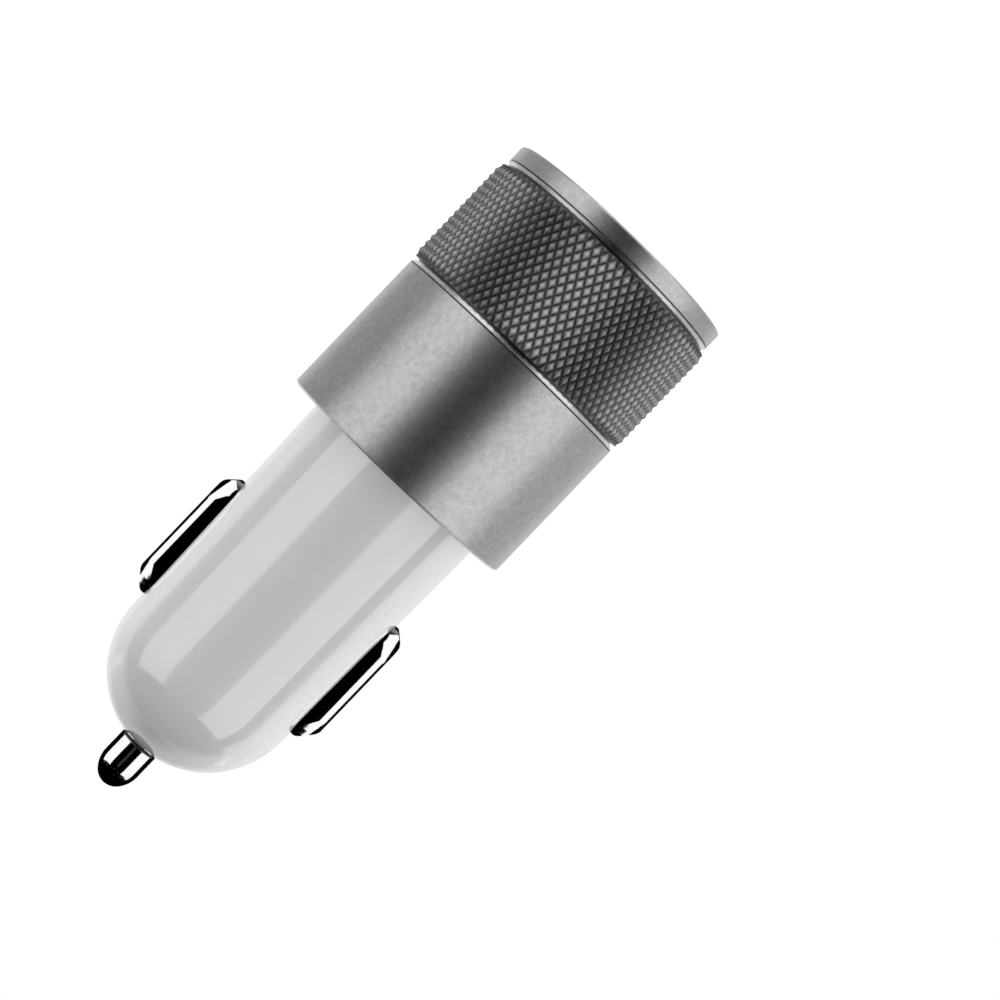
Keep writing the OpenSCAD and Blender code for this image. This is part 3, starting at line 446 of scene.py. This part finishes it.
def capped(body_tones, ends):
    """A small soldered part: its body's two tones, and tinned caps wherever ends(graph, z) is 1."""

    def build(graph):
        point, _, _, z = graph.place()
        cap = ends(graph, z)
        grain = graph.noise(point, 4200, 3.0)
        return {
            "Base Color": graph.mix(cap, graph.mix(grain, *body_tones), graph.mix(grain, *TIN_TONES)),
            "Metallic": cap,
            "Roughness": 0.45 - 0.15 * cap + 0.1 * grain,
            "Normal": graph.bump(grain, 0.008 * MM),
        }

    return build


def beyond(node, cap_length):
    """A mask that is 1 within cap_length of both ends of a node along the plug."""
    low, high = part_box(node)

    def ends(graph, z):
        return 1 - graph.band(z, low.z + cap_length, high.z - cap_length, 2 * EDGE)

    return ends


def in_rows(rows):
    """A mask that is 1 on the caps of small parts whose middles lie in two rows across the plug."""

    def ends(graph, z):
        first, second = (graph.band(z, row - BODY_HALF, row + BODY_HALF, 2 * EDGE) for row in rows)
        return 1 - first - second

    return ends


CLEAR_COAT = {"Coat_Weight": 1.0, "Coat_Roughness": 0.06, "Coat_IOR": 1.9}

FINISHES = {
    "satin_aluminium": finish("blasted aluminium", satin_aluminium, Metallic=1.0),
    "white_gloss_plastic": finish("polished white plastic", gloss_plastic, IOR=1.55, **CLEAR_COAT),
    "white_face_plastic": finish("textured white plastic", satin_plastic, IOR=1.5),
    "board_laminate": finish("green laminate", board_laminate, IOR=1.5),
    "socket_steel": finish("tinned steel", drawn_steel, Metallic=1.0),
    "tongue_plastic": finish("white tongue plastic", satin_plastic, IOR=1.5),
    "gilt_contact": finish("gilt", gilt, Metallic=1.0),
    "tip_chrome": finish("chrome of the tip", polished_chrome, Metallic=1.0),
    "spring_steel": finish("spring wire", drawn_steel, Metallic=1.0),
    "seat_brass": finish("stamped brass", stamped_brass, Metallic=1.0),
    "contact_chrome": finish("chrome of the side contacts", polished_chrome, Metallic=1.0),
    "ferrite": finish("ferrite", ferrite, IOR=1.5),
    "copper_wire": finish("enamelled copper", enamelled_wire, Metallic=1.0),
    "can_aluminium": finish("capacitor can", capacitor_can),
    "chip_plastic": finish("black epoxy", moulded_epoxy, IOR=1.5),
    "fuse_ceramic": finish("fuse body", capped(FUSE_TONES, beyond("input_fuse", FUSE_CAP))),
    "resistor_body": finish("resistor body", capped(RESISTOR_TONES, in_rows(RESISTOR_ROWS))),
    "capacitor_body": finish("ceramic capacitor body", capped(CAPACITOR_TONES, in_rows(CAPACITOR_ROWS))),
}


def dress_solids():
    """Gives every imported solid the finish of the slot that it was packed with."""
    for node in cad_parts.values():
        slot = node.material_slots[0]
        slot.material = FINISHES[slot.material.name.split(".")[0]]


def put(name, data):
    """An object of a mesh, a lamp or a camera, in the scene."""
    thing = bpy.data.objects.new(name, data)
    bpy.context.scene.collection.objects.link(thing)
    return thing


def tube_round(path, radius, sides=16):
    """A closed round tube along a path of points, one ring of points for each point of the path.

    Each ring lies in the plane of two unit vectors across the path's direction d, b = z x d and n = d x b:
    p + radius (cos s n + sin s b).
    """
    ahead = np.gradient(path, axis=0)
    ahead /= np.linalg.norm(ahead, axis=1, keepdims=True)
    level = np.cross([0.0, 0.0, 1.0], ahead)
    level /= np.linalg.norm(level, axis=1, keepdims=True)
    rise = np.cross(ahead, level)
    s = np.linspace(0, 2 * np.pi, sides, endpoint=False)[:, None]
    rings = path[:, None] + radius * (np.cos(s) * rise[:, None] + np.sin(s) * level[:, None])
    index = np.arange(len(path) * sides).reshape(-1, sides)
    after = np.roll(index, -1, axis=1)
    walls = np.stack([index[:-1], after[:-1], after[1:], index[1:]], -1).reshape(-1, 4)
    caps = [index[0].tolist()[::-1], index[-1].tolist()]
    return rings.reshape(-1, 3), walls.tolist() + caps


def make_tip_spring():
    """The tip's spring as a smooth coil: closed turns at both ends, even turns between them.

    After t turns the wire's middle is at the height start + min(t, 1) c + rise clip(t - 1, 0, n - 2)
    + max(0, t - n + 1) c, where c is the pitch of the closed turns and n the number of turns. The wire
    is drawn a little thinner than its turns allow, so that the closed ones don't touch.
    """
    low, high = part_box("tip_spring")
    wire_r = 0.225 * MM
    drawn_r = 0.98 * wire_r
    coil_r = high.x - wire_r
    turns = 7
    steps_per_turn = 48
    closed = 2 * wire_r + 0.03 * MM
    start = low.z + wire_r
    rise = (high.z - low.z - 2 * wire_r - 2 * closed) / (turns - 2)
    t = np.linspace(0, turns, turns * steps_per_turn + 1)
    z = start + np.minimum(t, 1) * closed + np.clip(t - 1, 0, turns - 2) * rise
    z += np.maximum(0, t - turns + 1) * closed
    path = np.stack([coil_r * np.cos(2 * np.pi * t), coil_r * np.sin(2 * np.pi * t), z], -1)
    points, faces = tube_round(path, drawn_r)
    mesh = bpy.data.meshes.new("spring_coil")
    mesh.from_pydata(points.tolist(), [], faces)
    mesh.shade_smooth()
    mesh.materials.append(FINISHES["spring_steel"])
    spring = put("spring_coil", mesh)
    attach(spring, "housing")
    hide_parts("tip_spring")
    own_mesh(spring)


def light_paths(graph):
    """1 for rays from the camera, from metal and gloss and through glass, and 0 for diffuse light."""
    camera, glossy, through = (
        graph.add("LightPath", out=f"Is {kind} Ray") for kind in ("Camera", "Glossy", "Transmission")
    )
    return graph.add("Math", {"operation": "ADD", "use_clamp": True}, {0: camera + glossy, 1: through})


def make_world():
    """White to the eye and to reflections, and a plain ambient level to diffuse light."""
    world = bpy.data.worlds.new("studio")
    world.use_nodes = True
    world.cycles.sampling_method = "NONE"
    graph = Graph(world.node_tree)
    strength = AMBIENT + (1 - AMBIENT) * light_paths(graph)
    background = graph.add("Background", None, {"Color": (1.0, 1.0, 1.0), "Strength": strength})
    graph.show("World", background)
    bpy.context.scene.world = world


def grid_mesh(name, points, columns):
    """A mesh from a grid of points, row after row, with one face between each four neighbours."""
    index = np.arange(len(points)).reshape(-1, columns)
    corners = [index[:-1, :-1], index[:-1, 1:], index[1:, 1:], index[1:, :-1]]
    faces = np.stack(corners, -1).reshape(-1, 4)
    mesh = bpy.data.meshes.new(name)
    mesh.from_pydata(points.tolist(), [], faces.tolist())
    return put(name, mesh)


def tent_point(azimuth, elevation, distance=TENT_R):
    """A point of the tent: azimuth 0 is towards the camera and 90 to the plug's +X side, in degrees."""
    a = np.radians(azimuth)
    e = np.radians(elevation)
    out = distance * np.cos(e)
    return np.stack([out * np.sin(a), -out * np.cos(a), TENT_HEIGHT + distance * np.sin(e)], -1)


def lit_group(name, nodes, link_state):
    """The nodes that a panel shines on alone, with INCLUDE, or that it leaves dark, with EXCLUDE."""
    group = bpy.data.collections.new(name)
    for node in nodes:
        group.objects.link(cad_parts[node])
    for member in group.collection_objects:
        member.light_linking.link_state = link_state
    return group


def tent_panel(name, azimuths, elevations, stops, group, inset=1.0, by_height=False, seen_by_diffuse=False):
    """A patch of the tent's sphere that only reflections see, and that shines on one lit group.

    Its glow goes evenly from stop to stop and stays level past the ends. A stop is an azimuth, or with
    by_height an elevation, and the glow there. An elevation past 90 degrees reaches over the top. A
    panel that is inset, to a share of the tent's radius, is see-through: it adds its light to that of
    the panels behind it.
    """
    a, e = np.meshgrid(np.linspace(*azimuths, PANEL_STEPS), np.linspace(*elevations, PANEL_STEPS))
    panel = grid_mesh(name, tent_point(a, e, inset * TENT_R).reshape(-1, 3), PANEL_STEPS)
    glow = np.interp(e if by_height else a, *zip(*stops)).astype(np.float32)
    panel.data.attributes.new("glow", "FLOAT", "POINT").data.foreach_set("value", glow.reshape(-1))
    material = bpy.data.materials.new(name)
    material.use_nodes = True
    material.cycles.emission_sampling = "NONE"
    graph = Graph(material.node_tree)
    strength = graph.add("Attribute", {"attribute_name": "glow"}, None, out="Fac")
    surface = graph.add("Emission", None, {"Strength": strength})
    if inset < 1:
        surface = graph.add("AddShader", None, {0: surface, 1: graph.add("BsdfTransparent")})
    graph.show("Material", surface)
    panel.data.materials.append(material)
    panel.light_linking.receiver_collection = group
    panel.visible_camera = False
    panel.visible_diffuse = seen_by_diffuse
    panel.visible_transmission = False
    panel.visible_shadow = False


def lamp(name, azimuth, size, white_share):
    """A square lamp on the tent, aimed at the plug, for diffuse light only.

    white_share is what it adds to a white face turned towards it, where 1 is white.
    """
    place = Vector(tent_point(azimuth, LAMP_ELEVATION))
    data = bpy.data.lights.new(name, "AREA")
    data.shape = "SQUARE"
    data.size = size
    data.energy = white_share * math.pi * math.pi * TENT_R**2
    light = put(name, data)
    light.location = place
    aim = Vector((0, 0, TENT_HEIGHT)) - place
    light.rotation_euler = aim.to_track_quat("-Z", "Y").to_euler()
    light.visible_glossy = False


def make_floor():
    """A white floor that still shows the plug's shadow, and that is see-through from below.

    It lies a hair under the rim, so that the two faces don't meet.
    """
    span = np.linspace(-FLOOR_HALF, FLOOR_HALF, 2)
    x, y = np.meshgrid(span, span)
    floor = grid_mesh("floor", np.stack([x, y, 0 * x - FLOOR_GAP], -1).reshape(-1, 3), 2)
    material = bpy.data.materials.new("floor")
    material.use_nodes = True
    graph = Graph(material.node_tree)
    strength = FLOOR_GLOW + FLOOR_GLOW_TO_EYE * light_paths(graph)
    glow = graph.add("Emission", None, {"Strength": strength})
    paint = graph.add("BsdfDiffuse", None, {"Color": FLOOR_PAINT})
    top = graph.add("AddShader", None, {0: glow, 1: paint})
    below = graph.add("NewGeometry", out="Backfacing")
    clear = graph.add("BsdfTransparent")
    graph.show("Material", graph.add("MixShader", None, {0: below, 1: top, 2: clear}))
    floor.data.materials.append(material)
    floor.visible_glossy = False


def make_tent(chrome):
    """What everything but the chrome pieces reflects: two soft strips beside the camera, flags round them.

    Beside the strips the metal sees grey flags. The barrel is left out of those, so they are black to it,
    and panels nearer in light it there, all but one dark line near each of its edges. Every list of
    stops holds pairs of an angle in degrees and the glow there.
    """
    plain = lit_group("all but the chrome", chrome, "EXCLUDE")
    metal = lit_group("all but the chrome and the barrel", chrome + ["barrel"], "EXCLUDE")
    barrel = lit_group("barrel alone", ["barrel"], "INCLUDE")
    front = (-STRIP_START, STRIP_START)
    left_strip = (LEFT_STRIP_END, -STRIP_START)
    right_strip = (STRIP_START, RIGHT_STRIP_END)
    left_side = (-SIDE_END, LEFT_STRIP_END)
    right_side = (RIGHT_STRIP_END, SIDE_END)
    low, high = UPRIGHT
    past_top = 98
    seam = 0.16
    middle = [(-STRIP_START, seam), (-6, 0), (6, 0), (STRIP_START, seam)]
    left_glow = [(-STRIP_FULL, 1.06), (-STRIP_START, seam)]
    right_glow = [(STRIP_START, seam), (STRIP_FULL, 1.08), (50, 1.08), (84, 0.78)]
    metal_left = [(-140, 0.65), (-85, 0.5027), (-84, 0.6867), (-82, 1.06)]
    metal_right = [(82, 0.80), (84, 0.4333), (85, 0.2577), (110, 0.45)]
    over_plug = [(-115, 0.5), (-95, 0), (95, 0), (115, 0.5)]
    behind_plug = [(past_top, 0), (120, 0.6)]
    tent_panel("front_flag", front, UPRIGHT, middle, plain)
    tent_panel("strip_left", left_strip, UPRIGHT, left_glow, plain)
    tent_panel("strip_right", right_strip, UPRIGHT, right_glow, plain)
    tent_panel("edge_flag_left", left_side, UPRIGHT, metal_left, metal)
    tent_panel("edge_flag_right", right_side, UPRIGHT, metal_right, metal)
    tent_panel("barrel_edge_left", left_side, UPRIGHT, [(-95, 0.8), (-92, 0)], barrel, inset=0.95)
    tent_panel("barrel_edge_right", right_side, UPRIGHT, [(104, 0), (107, 0.6)], barrel, inset=0.95)
    tent_panel("back_panel", (SIDE_END, 360 - SIDE_END), UPRIGHT, [(0, 0.8)], plain)
    tent_panel("low_panel", (-180, 180), (-90, low), [(0, 1)], plain)
    over = {"group": plain, "seen_by_diffuse": True}
    tent_panel("top_flag", (-115, 115), (high, past_top), over_plug, **over)
    tent_panel("far_top_flag", (-65, 65), (past_top, 145), behind_plug, by_height=True, **over)


def make_studio():
    """The tent, the lamps for diffuse light, the floor and the world.

    The chrome pieces see a tent of their own, black but for two strips, which gives them dark edges
    against the white.
    """
    make_world()
    side_contacts = ["side_contact_left", "side_contact_right"]
    make_tent(["tip_contact"] + side_contacts)
    tip = lit_group("tip alone", ["tip_contact"], "INCLUDE")
    contacts = lit_group("side contacts alone", side_contacts, "INCLUDE")
    for name, side in SIDES:
        tip_strip = (side * 42, side * 104)
        contact_strip = (side * 35, side * 101)
        tent_panel(f"tip_strip_{name}", tip_strip, CHROME_UPRIGHT, [(0, 1.05)], tip, inset=0.9)
        tent_panel(f"contact_strip_{name}", contact_strip, CHROME_UPRIGHT, [(0, 1.05)], contacts, inset=0.9)
        lamp(f"front_lamp_{name}", side * 35, size=0.25, white_share=0.23)
        lamp(f"side_lamp_{name}", side * 116, size=0.30, white_share=0.78)
    tent_panel("tip_glint", (-7, 7), (-38, 20), [(0, 0.03)], tip, inset=0.9)
    make_floor()


def make_camera():
    """The photograph's view: level with the sleeve, close in, rolled so that the tip points down to the left."""
    eye = Vector((0, -236, 21.5)) * MM
    centre = Vector((-8.7, 0, 25.6)) * MM
    focal_px = 2487
    image_px = 1000
    sensor_mm = 36
    axis_lean = math.radians(43.8)
    data = bpy.data.cameras.new("camera")
    data.sensor_width = sensor_mm
    data.lens = focal_px / image_px * sensor_mm
    data.clip_start = 10 * MM
    camera = put("camera", data)
    ahead = (centre - eye).normalized()
    up = Vector((0, 0, 1))
    upright = (up - up.dot(ahead) * ahead).normalized()
    across = ahead.cross(upright)
    along_right = -math.sin(axis_lean)
    along_up = -math.cos(axis_lean)
    right = along_right * upright + along_up * across
    top = along_up * upright - along_right * across
    turn = Matrix((right, top, -ahead)).transposed().to_4x4()
    camera.matrix_world = Matrix.Translation(eye) @ turn
    bpy.context.scene.camera = camera


dress_solids()
make_tip_spring()
make_studio()
make_camera()
bpy.context.scene.view_settings.view_transform = "Standard"
